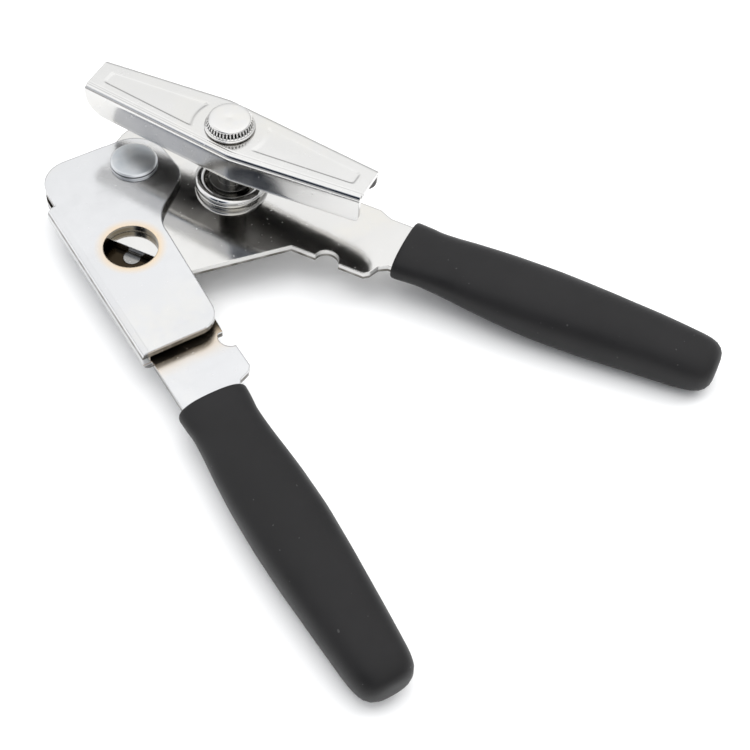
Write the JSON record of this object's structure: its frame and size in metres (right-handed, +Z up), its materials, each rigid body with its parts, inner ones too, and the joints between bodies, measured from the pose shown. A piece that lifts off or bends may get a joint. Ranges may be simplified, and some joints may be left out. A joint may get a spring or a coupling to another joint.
{
  "type": "manual can opener",
  "caption": "Hand can opener with two rubber-gripped arms on a rivet, a turning key that drives a feed wheel, and a geared cutter wheel.",
  "frame": {"origin": "middle of the part's box, on the table it lies on", "axes": "+Z up along the pivot, the key's shaft and the cutter axis, which are parallel; +Y along the folded arm, from its grip to its head; +X across, from the folded arm to the flat arm"},
  "size_m": [0.1396, 0.1932, 0.0384],
  "materials": {
    "arm_plate": "bright nickel-chrome plating over pressed steel",
    "rivet": "plated steel rivet, formed head",
    "bushing": "plated steel, rolled lip",
    "key_sheet": "plated pressed steel, soft sheen",
    "nut": "plated steel, knurled rim",
    "grip": "black moulded rubber, satin",
    "shaft": "turned steel",
    "washer": "spring steel",
    "gear": "pressed and hardened steel",
    "wheel": "hardened steel",
    "cutter": "ground hardened steel"
  },
  "bodies": {
    "cutter_arm": {"channel_arm": "arm_plate", "left_grip": "grip", "pivot_rivet": "rivet", "cutter_screw": "shaft", "cutter_spring": "washer"},
    "key_arm": {"swing_arm": "arm_plate", "right_grip": "grip", "shaft_bushing": "bushing"},
    "key_train": {"turning_key": "key_sheet", "key_nut": "nut", "lock_washer": "washer", "drive_shaft": "shaft", "spring_washer": "washer", "thrust_washer": "washer", "drive_gear": "gear", "feed_wheel": "wheel"},
    "cutter_train": {"cutter_wheel": "cutter", "cutter_hub": "wheel", "cutter_gear": "gear"}
  },
  "joints": [
    {"name": "handle_hinge", "type": "hinge", "parent": "cutter_arm", "child": "key_arm", "pos_m": [-0.03997, 0.07505, 0.0114], "axis": [0, 0, 1], "range_deg": [-33.8, 26]},
    {"name": "key_spin", "type": "hinge", "parent": "key_arm", "child": "key_train", "pos_m": [-0.0186, 0.0568, 0.0114], "axis": [0, 0, 1], "continuous": true},
    {"name": "cutter_spin", "type": "hinge", "parent": "cutter_arm", "child": "cutter_train", "pos_m": [-0.05467, 0.04755, 0.005], "axis": [0, 0, 1], "continuous": true}
  ],
  "couplings": [
    {"joint": "cutter_spin", "follows": "key_spin", "ratio": -1}
  ]
}
